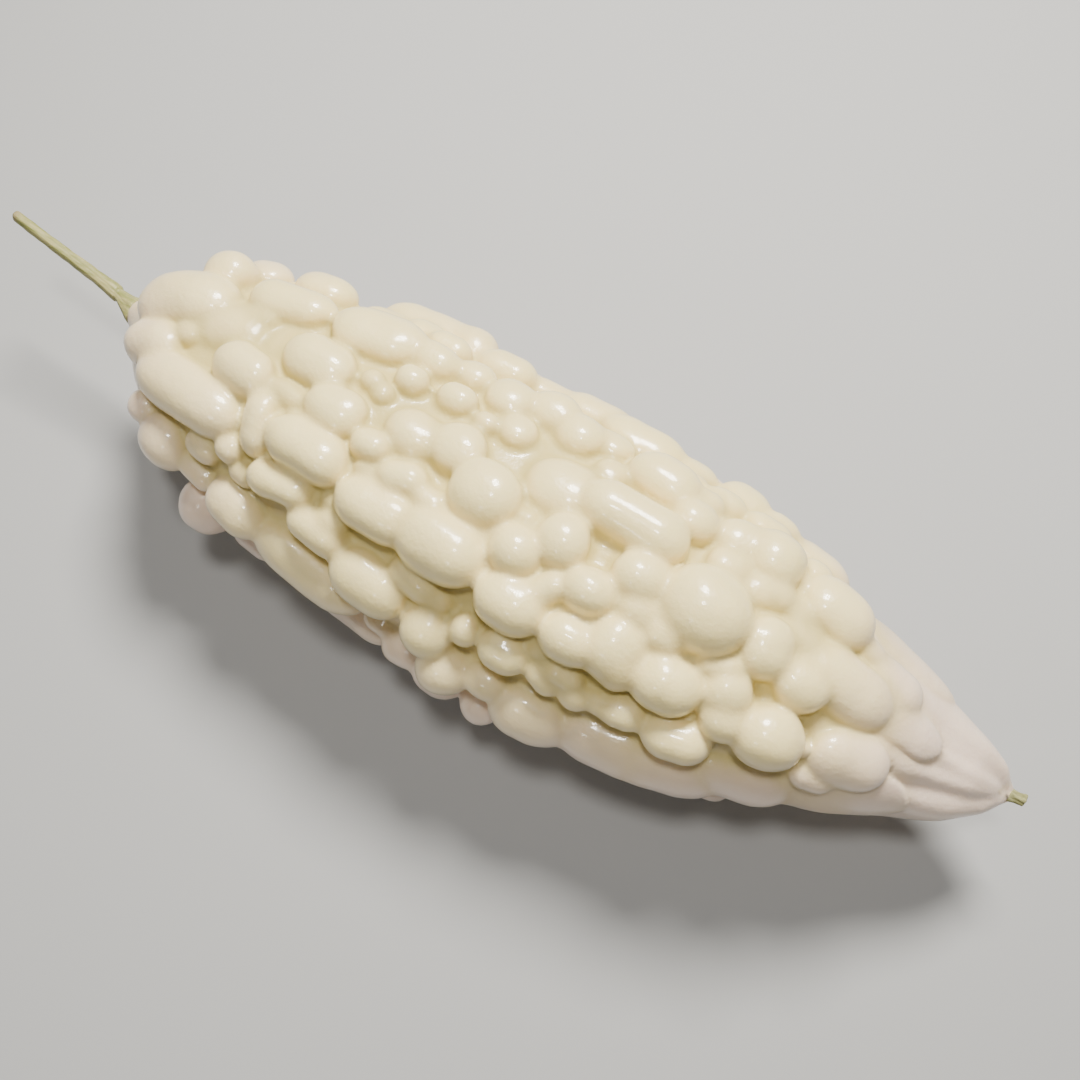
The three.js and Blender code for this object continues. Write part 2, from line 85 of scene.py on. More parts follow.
# The warts that are placed one by one, along the fruit from the stem end: station, angle from
# the top towards +Y, length, width, turn of the length towards larger angles, and height above
# the body. Angles are in degrees. Lengths and widths run to the middle of the creases.
LARGE_WARTS = (
    (23, -22, 20, 13, 20, 6.5), (24, 13, 31, 18, 15, 7), (26, -60, 9, 9, 0, 5.5),
    (28, 43, 15, 14, 0, 8), (31, -6, 7, 6, 0, 3), (33, 62, 14, 13, 0, 6),
    (35, -67, 16, 16, -5, 7.5), (38, 9, 22, 16, 0, 3), (39, -32, 36, 15, 2, 7.5),
    (45, 20, 8, 6, 0, 2.5), (46, -70, 12, 7, -15, 4), (47, -98, 17, 14, -60, 10),
    (47, -52, 11, 9, 0, 4), (49, 33, 24, 13, 10, 6), (49, 62, 18, 14, 0, 6.5),
    (50, -9, 18, 13, -8, 6), (55, -42, 8, 8, 0, 4.5), (60, -69, 19, 14, -15, 7.5),
    (60, -50, 8, 6, 0, 3), (60, -25, 17, 9, -75, 5), (61, -105, 16, 10, 0, 6),
    (61, -9, 7, 6, 0, 3), (65, -10, 7, 6, 0, 3), (65, 10, 20, 14, -3, 5),
    (66, 65, 16, 10, 0, 3.5), (71, -42, 19, 10, 12, 6), (72, 36, 26, 17, 8, 7),
    (74, -103, 13, 9, 0, 5.5), (74, -24, 23, 14, -3, 7.5), (75, -5, 16, 13, 0, 5.5),
    (77, 62, 12, 9, 0, 5), (78, 14, 6, 6, 0, 3), (78, 74, 34, 12, 0, 8),
    (82, -77, 34, 16, -9, 7), (82, 11, 5, 5, 0, 2.5), (83, -51, 18, 11, -8, 6),
    (84, -37, 6, 5, 0, 2.5), (85, 55, 13, 9, 0, 5.5), (86, -44, 8, 7, 0, 4),
    (86, 22, 9, 8, 0, 5), (87, -10, 10, 8, 0, 5), (87, 37, 13, 11, 0, 6),
    (88, 72, 13, 13, 0, 8.5), (89, -19, 7, 5, 0, 3), (94, 2, 15, 14, 0, 4),
    (95, -30, 22, 14, 0, 7), (96, 42, 11, 10, 0, 5), (97, -15, 13, 9, 20, 5),
    (97, 24, 11, 9, 0, 5), (99, -59, 22, 16, -8, 8), (99, 64, 17, 12, 0, 7),
    (101, -93, 10, 8, 0, 4), (104, 6, 14, 14, 0, 5), (105, -17, 9, 7, 0, 4.5),
    (106, 21, 7, 6, 0, 3.5), (107, 38, 13, 13, 0, 6), (109, -98, 14, 12, 0, 7.5),
    (109, -47, 14, 9, -10, 4), (111, 70, 16, 10, 0, 5), (112, -29, 24, 17, 0, 8.5),
    (113, 25, 10, 10, 0, 4), (115, -5, 18, 17, 0, 7.5), (116, -64, 14, 15, 0, 8),
    (116, -49, 7, 6, 0, 3), (117, 43, 14, 13, 0, 6.5), (118, -17, 9, 7, 10, 3.5),
    (119, -98, 16, 14, 0, 9), (122, -78, 15, 16, 0, 10), (124, -54, 8, 10, 0, 5),
    (124, 68, 22, 14, 0, 6.5), (125, 38, 13, 13, 0, 6), (126, -5, 5, 5, 0, 3),
    (127, -17, 13, 13, 0, 7), (129, 12, 20, 18, 0, 4.5), (131, -34, 18, 15, 0, 8.5),
    (132, -98, 12, 12, 0, 9), (132, -74, 12, 10, 0, 6), (132, 43, 12, 10, 0, 4.5),
    (134, -53, 13, 11, -5, 6.5), (135, -6, 13, 14, 0, 6.5), (136, 29, 9, 8, 0, 3),
    (137, -23, 11, 8, 55, 5), (137, 60, 24, 14, 0, 6.5), (141, -45, 6, 7, 0, 3),
    (144, -82, 22, 18, -12, 8.5), (144, -56, 10, 7, -32, 4.5), (145, -17, 13, 12, 0, 6.5),
    (146, -35, 15, 13, 0, 7.5), (146, 13, 28, 14, -3, 7.5), (147, 37, 19, 15, -5, 7.5),
    (148, -108, 9, 9, 0, 5), (148, -50, 10, 7, -8, 4), (151, 61, 13, 12, 0, 5),
    (152, -57, 8, 8, 0, 4.5), (152, 50, 9, 8, 0, 4), (153, -4, 14, 13, 0, 6.5),
    (155, -31, 15, 17, 0, 7.5), (156, -14, 11, 10, 0, 5), (157, 27, 12, 11, 0, 6),
    (157, 38, 10, 9, 0, 5.5), (158, -55, 8, 7, 0, 4), (158, -36, 9, 12, 0, 6.5),
    (160, 47, 12, 9, 0, 5), (162, -84, 28, 20, 0, 6.5), (163, -54, 11, 9, 0, 5.5),
    (163, -18, 11, 10, 0, 5.5), (164, 62, 15, 13, 0, 6), (168, -34, 17, 15, 0, 8),
    (168, -3, 22, 22, 0, 9.5), (168, 17, 11, 10, 0, 4.5), (168, 31, 14, 12, 0, 6),
    (172, 47, 14, 9, 0, 5), (174, 58, 12, 10, 0, 5.5), (175, -54, 17, 12, 12, 7.5),
    (176, -84, 28, 20, 0, 6.5), (176, -19, 11, 6, 22, 4), (176, 15, 9, 9, 0, 4),
    (176, 32, 16, 16, 0, 8), (180, -27, 12, 12, 0, 6), (180, 19, 9, 9, 0, 4),
    (182, -37, 12, 12, 0, 6.5), (183, -4, 15, 13, -75, 6), (185, 43, 9, 8, 0, 4.5),
    (185, 61, 20, 15, -10, 4.5), (186, 18, 8, 8, 0, 3), (189, 7, 12, 12, 0, 3),
    (192, -75, 28, 18, 4, 3.8), (192, -37, 17, 17, 0, 8.5), (193, -10, 14, 13, 0, 5.5),
    (193, 30, 20, 15, -6, 7), (202, 1, 26, 15, -5, 4.5), (204, -82, 24, 14, 0, 1.5),
    (204, 27, 8, 7, 0, 3), (205, -51, 11, 8, 0, 3.5), (210, -34, 20, 15, 6, 5),
    (212, 22, 16, 11, -12, 3), (214, 60, 28, 12, 0, 1), (216, -62, 26, 18, 2, 1.2),
    (218, 2, 24, 10, -4, 1.1),
)

# The low warts that the gourd rests on, in the same way. The surface it lies on flattens them.
FOOT_WARTS = (
    (118, 180, 22, 18, 0, 9.5), (76, 170, 20, 15, 0, 10), (84, -167, 18, 14, 0, 10),
    (160, 170, 22, 15, 0, 11.5), (156, -168, 20, 14, 0, 11),
)


class Detail(Enum):
    """Rings and sides of the skin's mesh: coarse while trying things, fine for keeps."""

    QUICK = (216, 196)
    FINE = (332, 298)


def smooth_curve(x: np.ndarray, y: np.ndarray, at: np.ndarray) -> np.ndarray:
    """The height at some places of the smooth curve through given points.

    Between two points it is the cubic that leaves each with the slope between the points on
    either side of it.

    Args:
        x: The points' places, rising.
        y: The points' heights.
        at: Where the curve is wanted.

    Returns:
        The curve's heights, in the shape of at.
    """
    slope = np.empty_like(y)
    slope[1:-1] = (y[2:] - y[:-2]) / (x[2:] - x[:-2])
    slope[0] = (y[1] - y[0]) / (x[1] - x[0])
    slope[-1] = (y[-1] - y[-2]) / (x[-1] - x[-2])
    i = np.clip(np.searchsorted(x, at, side="right") - 1, 0, len(x) - 2)
    span = x[i + 1] - x[i]
    w = np.clip((at - x[i]) / span, 0.0, 1.0)
    rise = w * w * (3.0 - 2.0 * w)
    bend = (1.0 - w) * slope[i] - w * slope[i + 1]
    return (1.0 - rise) * y[i] + rise * y[i + 1] + span * w * (1.0 - w) * bend


def smooth_step(value: np.ndarray, low: float, high: float) -> np.ndarray:
    """0 below low, 1 above high and an even S between, as 3w^2 - 2w^3.

    Args:
        value: Any numbers.
        low: Where the step starts.
        high: Where it ends.

    Returns:
        The step's heights, in the shape of value.
    """
    w = np.clip((value - low) / (high - low), 0.0, 1.0)
    return w * w * (3.0 - 2.0 * w)


def unit(vectors: np.ndarray) -> np.ndarray:
    """The vectors along the last axis, each at length 1."""
    return vectors / np.linalg.norm(vectors, axis=-1, keepdims=True)


def dot(one: np.ndarray, two: np.ndarray) -> np.ndarray:
    """The dot products along the last axis."""
    return np.einsum("...i,...i->...", one, two)


@dataclass(frozen=True)
class GourdBody:
    """The plain body under the warts: a round spindle on a slightly bowed axis.

    Attributes:
        length: From the stem end to the blossom end.
        shares: Where the radius is set, as shares of the length.
        radii: The radius at each share.
        axis_height: The long axis above the surface that the gourd lies on.
        droop: How far the tip is below the axis's height, rising with the square of the way.
        droop_start: The share of the length where the droop starts.
        axis_stations: Stations at which the axis's place to the side is set.
        axis_side: How far the axis stands off towards +Y there, because it bows a little.
        puckers: Angle in degrees, depth and width of each groove into the blossom end.
        pucker_start: The station where the grooves start.
        pucker_full: The station where they are at their full depth.
        pucker_share: The deepest groove as a share of the radius.
        neck_clearance: Nothing is past the stem end this near the axis.
    """

    length: float = 250.0
    shares: tuple[float, ...] = (
        0.0, 0.02, 0.06, 0.12, 0.2, 0.3, 0.42, 0.55, 0.66, 0.76, 0.85, 0.93, 0.98, 1.0,
    )
    radii: tuple[float, ...] = (
        3.3, 6.8, 16.3, 24.0, 28.5, 31.5, 32.8, 33.4, 31.5, 27.3, 20.9, 13.8, 7.8, 2.8,
    )
    axis_height: float = 40.0
    droop: float = 6.0
    droop_start: float = 0.55
    axis_stations: tuple[float, ...] = (0, 20, 60, 100, 140, 180, 212, 232, 250)
    axis_side: tuple[float, ...] = (1.7, -0.5, -2.0, -3.4, -4.2, -3.7, -3.2, -2.0, 0.6)
    puckers: tuple[Triple, ...] = (
        (6, 1.6, 2.4), (19, 1.0, 2.2), (-14, 1.2, 2.4), (-39, 2.0, 3.0), (78, 1.4, 3.0),
        (140, 1.8, 3.0), (-150, 1.8, 3.0), (-115, 1.2, 3.0),
    )
    pucker_start: float = 208.0
    pucker_full: float = 228.0
    pucker_share: float = 0.22
    neck_clearance: float = 4.5

    def radius(self, s: np.ndarray) -> np.ndarray:
        """The plain radius at some stations."""
        return smooth_curve(np.array(self.shares), np.array(self.radii), np.asarray(s) / self.length)

    def slope(self, s: np.ndarray) -> np.ndarray:
        """How fast the radius grows with the station, from 1 mm before it to 1 mm past it."""
        return (self.radius(s + 1.0) - self.radius(s - 1.0)) / 2.0

    def axis(self, s: np.ndarray) -> np.ndarray:
        """Points on the long axis at some stations, shape (..., 3)."""
        share = np.clip(np.asarray(s, float) / self.length, 0.0, 1.0)
        way = np.clip((share - self.droop_start) / (1.0 - self.droop_start), 0.0, 1.0)
        stations, side = np.array(self.axis_stations, float), np.array(self.axis_side)
        height = self.axis_height - self.droop * way**2
        return np.stack([s + 0.0 * share, smooth_curve(stations, side, s), height], -1)

    def skin(self, s: np.ndarray, a: np.ndarray) -> np.ndarray:
        """Points on the plain skin at some stations and angles in radians, shape (..., 3)."""
        r = self.radius(s)
        return self.axis(s) + np.stack([0.0 * r, r * np.sin(a), r * np.cos(a)], -1)

    def pucker_depth(self, s: np.ndarray, a: np.ndarray) -> np.ndarray:
        """How deep the grooves at the blossom end are cut.

        Each is a bell curve across, exp(-x^2) with x the distance over the groove's width.

        Args:
            s: Stations.
            a: Angles in radians, in the same shape.

        Returns:
            The depths, in the same shape.
        """
        radius = self.radius(s)
        depth = np.zeros_like(radius)
        for angle, deepest, width in self.puckers:
            turn = a - math.radians(angle)
            away = np.arctan2(np.sin(turn), np.cos(turn)) * radius / width
            depth += np.minimum(deepest, radius * self.pucker_share) * np.exp(-away * away)
        return depth * smooth_step(s, self.pucker_start, self.pucker_full)

    def distance(self, p: np.ndarray) -> tuple[np.ndarray, np.ndarray]:
        """Signed distance to the plain body, and the direction in which it grows.

        The distance is how far a point is outside the radius at its station, times the
        cosine of the skin's slope, and past an end it is the distance to that end.

        Args:
            p: Points, shape (n, 3).

        Returns:
            The distances, shape (n,), and the unit directions, shape (n, 3).
        """
        s = np.clip(p[:, 0], 0.0, self.length)
        away = p - self.axis(s)
        away[:, 0] = 0.0
        rho = np.hypot(away[:, 1], away[:, 2])
        a = np.arctan2(away[:, 1], away[:, 2])
        slope = self.slope(s)
        lean = 1.0 / np.hypot(1.0, slope)
        side = (rho - self.radius(s) + self.pucker_depth(s, a)) * lean
        ends = np.maximum(-p[:, 0], p[:, 0] - self.length)
        out = away / np.maximum(rho, TINY)[:, None] * lean[:, None]
        out[:, 0] = -slope * lean
        nearer_end = np.where(p[:, 0] < self.length / 2, -1.0, 1.0)
        cap = np.stack([nearer_end, 0.0 * rho, 0.0 * rho], -1)
        past = ends > side
        return np.where(past, ends, side), np.where(past[:, None], cap, out)

    def neck(self, p: np.ndarray) -> np.ndarray:
        """Positive where the stalk's place past the stem end is, so that it is left free."""
        from_axis = np.hypot(p[:, 1] - self.axis_side[0], p[:, 2] - self.axis_height)
        return np.minimum(self.neck_clearance - from_axis, -p[:, 0])


@dataclass(frozen=True)
class FillSize:
    """One round of smaller warts: how many are tried, and their size."""

    tries: int
    length: float
    width: float
    height: float


@dataclass(frozen=True)
class WartRule:
    """Where the warts go: by list, and on the far side and the underside by rule.

    Attributes:
        sizes: The rounds, from the largest warts down.
        stations: The first and the last station of the rule.
        angles: The angles between which the rule works.
        spread: How much the sizes vary, in all.
        turn: How much the directions vary, in all, in degrees.
        clearance: How near two warts may come, where 1 is touching.
        seed: The start of the row of drawn numbers.
    """

    sizes: tuple[FillSize, ...] = (
        FillSize(500, 27, 15, 7),
        FillSize(700, 16, 13, 6.5),
        FillSize(500, 10, 9, 4.5),
        FillSize(600, 6, 6, 3),
    )
    stations: Pair = (24.0, 194.0)
    angles: Pair = (90.0, 252.0)
    spread: float = 0.3
    turn: float = 30.0
    clearance: float = 0.9
    seed: int = 20

    def draws(self) -> Iterator[float]:
        """Yields even numbers from 0 to 1, the same on every run.

        Each whole number is the one before it times a factor, plus a step, and what is left of
        that over the limit. Divided by the limit it is what is drawn.

        Yields:
            The drawn numbers, without end.
        """
        factor, step, limit = 1664525, 1013904223, 2**32
        state = self.seed
        while True:
            state = (state * factor + step) % limit
            yield state / limit

    def place(self, body: GourdBody) -> np.ndarray:
        """Lists every wart.

        A drawn wart is kept where an ellipse of its size, on the unrolled skin, stays clear of
        the ellipses of all the warts before it.

        Args:
            body: The body that the warts stand on.

        Returns:
            Station, angle, length, width, turn and height of each wart, shape (n, 6).
        """
        warts = np.array(LARGE_WARTS + FOOT_WARTS, float)
        draw = self.draws()
        for size in self.sizes:
            for _ in range(size.tries):
                s = self.stations[0] + next(draw) * (self.stations[1] - self.stations[0])
                a = self.angles[0] + next(draw) * (self.angles[1] - self.angles[0])
                scale = 1.0 + (next(draw) - 0.5) * self.spread
                turn = (next(draw) - 0.5) * self.turn
                sizes = np.array([size.length, size.width, size.height]) * scale
                wart = np.array([s, a, sizes[0], sizes[1], turn, sizes[2]])
                if (self.spacing(wart, warts, body) > self.clearance).all():
                    warts = np.vstack([warts, wart])
        return warts

    def spacing(self, wart: np.ndarray, others: np.ndarray, body: GourdBody) -> np.ndarray:
        """How far a wart stands from others on the unrolled skin.

        The ways along and across are each divided by the mean of the two warts' sizes that
        way, and the two shares are joined as the sides of a right triangle.

        Args:
            wart: The six numbers of one wart.
            others: Those of the others, shape (n, 6).
            body: The body that they stand on.

        Returns:
            The spacings, shape (n,), where 1 is touching.
        """
        turn = np.radians(wart[1] - others[:, 1])
        across = np.arctan2(np.sin(turn), np.cos(turn)) * body.radius((wart[0] + others[:, 0]) / 2)
        along = wart[0] - others[:, 0]
        return np.hypot(2 * along / (wart[2] + others[:, 2]), 2 * across / (wart[3] + others[:, 3]))


@dataclass
class WartyField:
    """The whole gourd as one signed distance: the body and its warts, creases rounded.

    Each wart is a pod: an ellipsoid with a straight middle, laid over the body's curve, with
    its centre raised so that its sides bulge. All distances are joined by a soft minimum,
    -k log(sum(exp(-d / k))).

    Attributes:
        body: The plain body.
        crease: The soft minimum's k, about the radius of a crease.
        length_share: A pod's length as a share of the listed one.
        width_share: Its width likewise.
        height_share: Its height likewise.
        straightness: The straight middle as a share of what the length is over the width.
        depth_share: The ellipsoid's half height as a share of the wart's height.
        depth_of_width: The least half height as a share of the width.
        max_curve: The most that a pod is bent along the body.
        min_radius: The least radius that a pod is bent round.
        slope_reach: How far to either side the skin's direction is measured.
        curve_reach: How far to either side the skin's curve is measured.
        margin: How far past its own reach a wart is still felt.
        near: For each wart the numbers of the points that find_near was told of and that it
            reaches.
    """

    body: GourdBody
    crease: float = 0.7
    length_share: float = 0.93
    width_share: float = 0.89
    height_share: float = 1.08
    straightness: float = 0.75
    depth_share: float = 0.66
    depth_of_width: float = 0.3
    max_curve: float = 0.05
    min_radius: float = 8.0
    slope_reach: float = 0.5
    curve_reach: float = 6.0
    margin: float = 3.5
    near: list[np.ndarray] = field(default_factory=list)

    def grow(self, warts: np.ndarray) -> None:
        """Works out every wart's own frame on the skin, its half sizes and its bend.

        Args:
            warts: Station, angle, length, width, turn and height of each, shape (n, 6).
        """
        s, degrees, length, width, turn_degrees, height = warts.T
        a, turn = np.radians(degrees), np.radians(turn_degrees)
        foot = self.body.skin(s, a)
        before, after = (self.body.skin(s + way, a) for way in (-self.slope_reach, self.slope_reach))
        along = unit(after - before)
        out = unit(np.cross(along, np.stack([0.0 * a, np.cos(a), -np.sin(a)], -1)))
        round_ = np.cross(out, along)
        reach = self.curve_reach
        mean = (self.body.skin(s + reach, a) + self.body.skin(s - reach, a)) / 2
        self.curve_along = np.clip(-2.0 * dot(mean - foot, out) / reach**2, 0.0, self.max_curve)
        self.curve_round = 1.0 / np.maximum(self.body.radius(s), self.min_radius)
        cos, sin = np.cos(turn)[:, None], np.sin(turn)[:, None]
        self.foot = foot
        lengthways, crossways = along * cos + round_ * sin, round_ * cos - along * sin
        self.rows = np.stack([along, round_, out, lengthways, crossways], 1)
        pod_length, pod_width = length * self.length_share, width * self.width_share
        pod_height = height * self.height_share
        least = np.maximum(pod_height * self.depth_share, pod_width * self.depth_of_width)
        self.depth = np.minimum(least, pod_height)
        self.lift = pod_height - self.depth
        self.straight = np.maximum(pod_length - pod_width, 0.0) / 2 * self.straightness
        self.half_length = pod_length / 2 - self.straight
        self.half_width = pod_width / 2
        self.reach = np.maximum(pod_length, pod_width) / 2
        self.middle = foot + out * self.lift[:, None]

    def find_near(self, p: np.ndarray, margin: float) -> None:
        """Notes for each wart which points are near it.

        Args:
            p: Points, shape (n, 3).
            margin: How far past a wart's own reach a point may be.
        """
        self.near = [
            np.nonzero(dot(p - middle, p - middle) < (reach + margin) ** 2)[0]
            for middle, reach in zip(self.middle, self.reach)
        ]

    def wart(self, i: int, p: np.ndarray) -> tuple[np.ndarray, np.ndarray]:
        """Signed distance to one wart, and the direction in which it grows.

        With x, y, z the point's place in half sizes and m its length, the distance is
        m (m - 1) over the length of x, y, z each divided by its half size again.

        Args:
            i: Which wart.
            p: Points, shape (n, 3).

        Returns:
            The distances, shape (n,), and about unit directions, shape (n, 3).
        """
        rows = self.rows[i]
        local = (p - self.foot[i]) @ rows.T
        along, round_, out, lengthways, crossways = local.T
        bend = 0.5 * (self.curve_along[i] * along**2 + self.curve_round[i] * round_**2)
        up = out + bend - self.lift[i]
        long = np.maximum(np.abs(lengthways) - self.straight[i], 0.0) * np.sign(lengthways)
        a, b, c = 1 / self.half_length[i] ** 2, 1 / self.half_width[i] ** 2, 1 / self.depth[i] ** 2
        share = np.sqrt(a * long**2 + b * crossways**2 + c * up**2)
        steep = np.maximum(np.sqrt((a * long) ** 2 + (b * crossways) ** 2 + (c * up) ** 2), TINY)
        rise = c * up
        along_part = rise * self.curve_along[i] * along
        round_part = rise * self.curve_round[i] * round_
        parts = np.stack([along_part, round_part, rise, a * long, b * crossways], -1)
        return share * (share - 1.0) / steep, (parts @ rows) / steep[:, None]

    def distance(self, p: np.ndarray) -> tuple[np.ndarray, np.ndarray]:
        """Signed distance to the gourd at the points that find_near was told of.

        Args:
            p: Points, shape (n, 3).

        Returns:
            The distances, shape (n,), and their gradients, shape (n, 3).
        """
        body, out = self.body.distance(p)
        total = np.exp(-body / self.crease)
        slope = out * total[:, None]
        for i, index in enumerate(self.near):
            d, g = self.wart(i, p[index])
            weight = np.exp(-d / self.crease)
            total[index] += weight
            slope[index] += g * weight[:, None]
        joined = -self.crease * np.log(total)
        neck = self.body.neck(p)
        ahead = np.array([-1.0, 0.0, 0.0])
        held = neck > joined
        return np.where(held, neck, joined), np.where(held[:, None], ahead, slope / total[:, None])

    def relief(self, p: np.ndarray, blend: float) -> tuple[np.ndarray, np.ndarray]:
        """How deep in a crease each point is, and how high over the body.

        The crease number is 1 minus the largest share that one wart has in a wide soft
        minimum: 0 on a wart's top and a half or more where two or three meet.

        Args:
            p: Points on the skin, shape (n, 3).
            blend: The wide soft minimum's k.

        Returns:
            The crease numbers and the heights in millimetres, each of shape (n,).
        """
        height, _ = self.body.distance(p)
        total = np.exp(-height / blend)
        largest = total.copy()
        for i, index in enumerate(self.near):
            d, _ = self.wart(i, p[index])
            weight = np.exp(-d / blend)
            total[index] += weight
            largest[index] = np.maximum(largest[index], weight)
        return 1.0 - largest / total, height


def make_piece(name: str, points: np.ndarray, triangles: np.ndarray) -> bpy.types.Object:
    """A smooth-shaded mesh object at the origin, from points in the gourd's own frame.

    Args:
        name: The piece's name.
        points: Places in millimetres, shape (n, 3).
        triangles: Vertex numbers, shape (m, 3).

    Returns:
        The object, linked to the scene.
    """
    mesh = bpy.data.meshes.new(name)
    mesh.vertices.add(len(points))
    mesh.vertices.foreach_set("co", ((points - ORIGIN) * METRES).astype(np.float32).ravel())
    mesh.loops.add(triangles.size)
    mesh.loops.foreach_set("vertex_index", triangles.astype(np.int32).ravel())
    mesh.polygons.add(len(triangles))
    mesh.polygons.foreach_set("loop_start", np.arange(0, triangles.size, 3, dtype=np.int32))
    mesh.polygons.foreach_set("use_smooth", np.ones(len(triangles), bool))
    mesh.update(calc_edges=True)
    mesh.validate()
    piece = bpy.data.objects.new(name, mesh)
    bpy.context.collection.objects.link(piece)
    return piece


def set_number(piece: bpy.types.Object, name: str, values: np.ndarray) -> None:
    """Stores one number for each vertex as an attribute that a material can read."""
    attribute = piece.data.attributes.new(name, "FLOAT", "POINT")
    attribute.data.foreach_set("value", values.astype(np.float32))


def ring_triangles(rings: int, sides: int, staggered: bool) -> np.ndarray:
    """Triangles of a tube of rings with a point at each end, faces outwards.

    Vertices run ring by ring, with the two end points last. The rings run along the tube
    and each turns left-handed about that direction.

    Args:
        rings: How many rings.
        sides: Vertices of each.
        staggered: True where every odd ring is turned on by half a side.

    Returns:
        Vertex numbers, shape (n, 3).
    """
    i, j = np.meshgrid(np.arange(rings - 1), np.arange(sides), indexing="ij")
    following = (j + 1) % sides
    a, b = i * sides + j, i * sides + following
    c, d = a + sides, b + sides
    leaning = (i % 2 == 1) if staggered else np.zeros_like(i, bool)
    first = np.where(leaning[..., None], np.stack([a, c, d], -1), np.stack([a, c, b], -1))
    second = np.where(leaning[..., None], np.stack([a, d, b], -1), np.stack([b, c, d], -1))
    j = np.arange(sides)
    following = (j + 1) % sides
    last = (rings - 1) * sides
    start = np.stack([np.full(sides, rings * sides), j, following], -1)
    end = np.stack([np.full(sides, rings * sides + 1), last + following, last + j], -1)
    return np.concatenate([first.reshape(-1, 3), second.reshape(-1, 3), start, end])


@dataclass
class FruitSkin:
    """The warty skin, from the neck at the stalk to the blossom end, as one closed mesh.

    Rays leave the axis square to X along the body and fan out over both ends. Each vertex
    starts where its ray leaves the gourd, then slides along the skin towards the middle of
    its neighbours, so that the bulging sides of the warts are covered evenly. Ways along a
    ray are in millimetres.

    Attributes:
        body: The plain body.
        rule: Where the warts go.
        detail: How fine the mesh is.
        fan_stem: The station and the skin length of the fan at the stem end.
        fan_tip: The same at the blossom end.
        far: A way along a ray that is outside the plain body everywhere.
        plain_halvings: How often the way to the plain skin is halved.
        over_plain: How far over the plain skin the warty skin lies, about.
        search_margin: How far past their reach warts are felt while it is searched.
        search_from: How far over the plain skin the search inwards starts.
        search_way: How far inwards it goes at most.
        step: The step of that search.
        halvings: How often the last step is halved.
        slides: How often the vertices slide.
        slide: The share of the way to the neighbours' middle that they go each time.
        longest_pull: The most of a vertex's distance from the skin that one pull makes up for.
        least_slope: The least square of the slope that a pull is divided by.
        last_pulls: How often the vertices are pulled back to the skin after the last slide.
        waver: How far the skin wavers in and out, so that no wart is a perfect pod.
        wave_lengths: The shortest and the longest wave of the wavering.
        waves: How many waves make it up.
        seed: The start of the waves' random draw.
        crease_blend: How wide the crease numbers spread.
    """

    body: GourdBody
    rule: WartRule
    detail: Detail
    fan_stem: Pair = (18.0, 34.0)
    fan_tip: Pair = (236.0, 18.0)
    far: float = 46.0
    plain_halvings: int = 16
    over_plain: float = 3.0
    search_margin: float = 13.0
    search_from: float = 14.0
    search_way: float = 16.0
    step: float = 1.0
    halvings: int = 7
    slides: int = 9
    slide: float = 0.6
    longest_pull: float = 1.0
    least_slope: float = 0.3
    last_pulls: int = 2
    waver: float = 0.18
    wave_lengths: Pair = (7.0, 22.0)
    waves: int = 26
    seed: int = 5
    crease_blend: float = 1.3

    def rays(self) -> tuple[np.ndarray, np.ndarray]:
        """Lays out the rays, with the odd rings turned on by half a side.

        The rings are evenly spaced along the length of the skin: over the stem's fan, then
        straight along, then over the tip's fan. In a fan the tilt grows evenly to 90 degrees.

        Returns:
            The rays' starts and their unit directions, each of shape (rings, sides, 3).
        """
        rings, sides = self.detail.value
        straight = self.fan_tip[0] - self.fan_stem[0]
        total = self.fan_stem[1] + straight + self.fan_tip[1]
        walked = total * np.arange(1, rings + 1) / (rings + 1) - self.fan_stem[1]
        start = self.body.axis(self.fan_stem[0] + np.clip(walked, 0.0, straight))
        before = np.minimum(walked, 0.0) / self.fan_stem[1]
        after = np.maximum(walked - straight, 0.0) / self.fan_tip[1]
        tilt = ((before + after) * np.pi / 2)[:, None]
        half_on = 0.5 * (np.arange(rings) % 2)[:, None]
        a = (np.arange(sides)[None] + half_on) * 2 * np.pi / sides
        sin, cos = np.sin(tilt), np.cos(tilt)
        direction = np.stack([sin + 0.0 * a, cos * np.sin(a), cos * np.cos(a)], -1)
        return np.broadcast_to(start[:, None], direction.shape), direction

    def halve(
        self,
        inside: np.ndarray,
        outside: np.ndarray,
        is_in: Callable[[np.ndarray], np.ndarray],
        times: int,
    ) -> np.ndarray:
        """Closes in on where each ray leaves a shape, by halving the way between two places.

        Args:
            inside: Ways along the rays that are in the shape.
            outside: Ways that are outside it.
            is_in: Says of ways along the rays which ones are in the shape.
            times: How often to halve.

        Returns:
            The last ways that are in the shape.
        """
        for _ in range(times):
            middle = (inside + outside) / 2
            hit = is_in(middle)
            inside, outside = np.where(hit, middle, inside), np.where(hit, outside, middle)
        return inside

    def cast(self, warty: WartyField) -> np.ndarray:
        """Finds where each ray leaves the gourd for good.

        The plain skin is found first. From well over it a search goes inwards in equal steps
        until it is in the gourd, and the last step is then halved.

        Args:
            warty: The gourd.

        Returns:
            The places, shape (rings, sides, 3).
        """
        start, direction = self.rays()
        flat_start, flat_direction = start.reshape(-1, 3), direction.reshape(-1, 3)

        def at(r: np.ndarray) -> np.ndarray:
            """Points at some distances along the rays."""
            return flat_start + flat_direction * r[:, None]

        def in_body(r: np.ndarray) -> np.ndarray:
            """Which of those points are in the plain body."""
            return self.body.distance(at(r))[0] < 0

        def in_gourd(r: np.ndarray) -> np.ndarray:
            """Which of them are in the gourd, warts included."""
            return warty.distance(at(r))[0] < 0

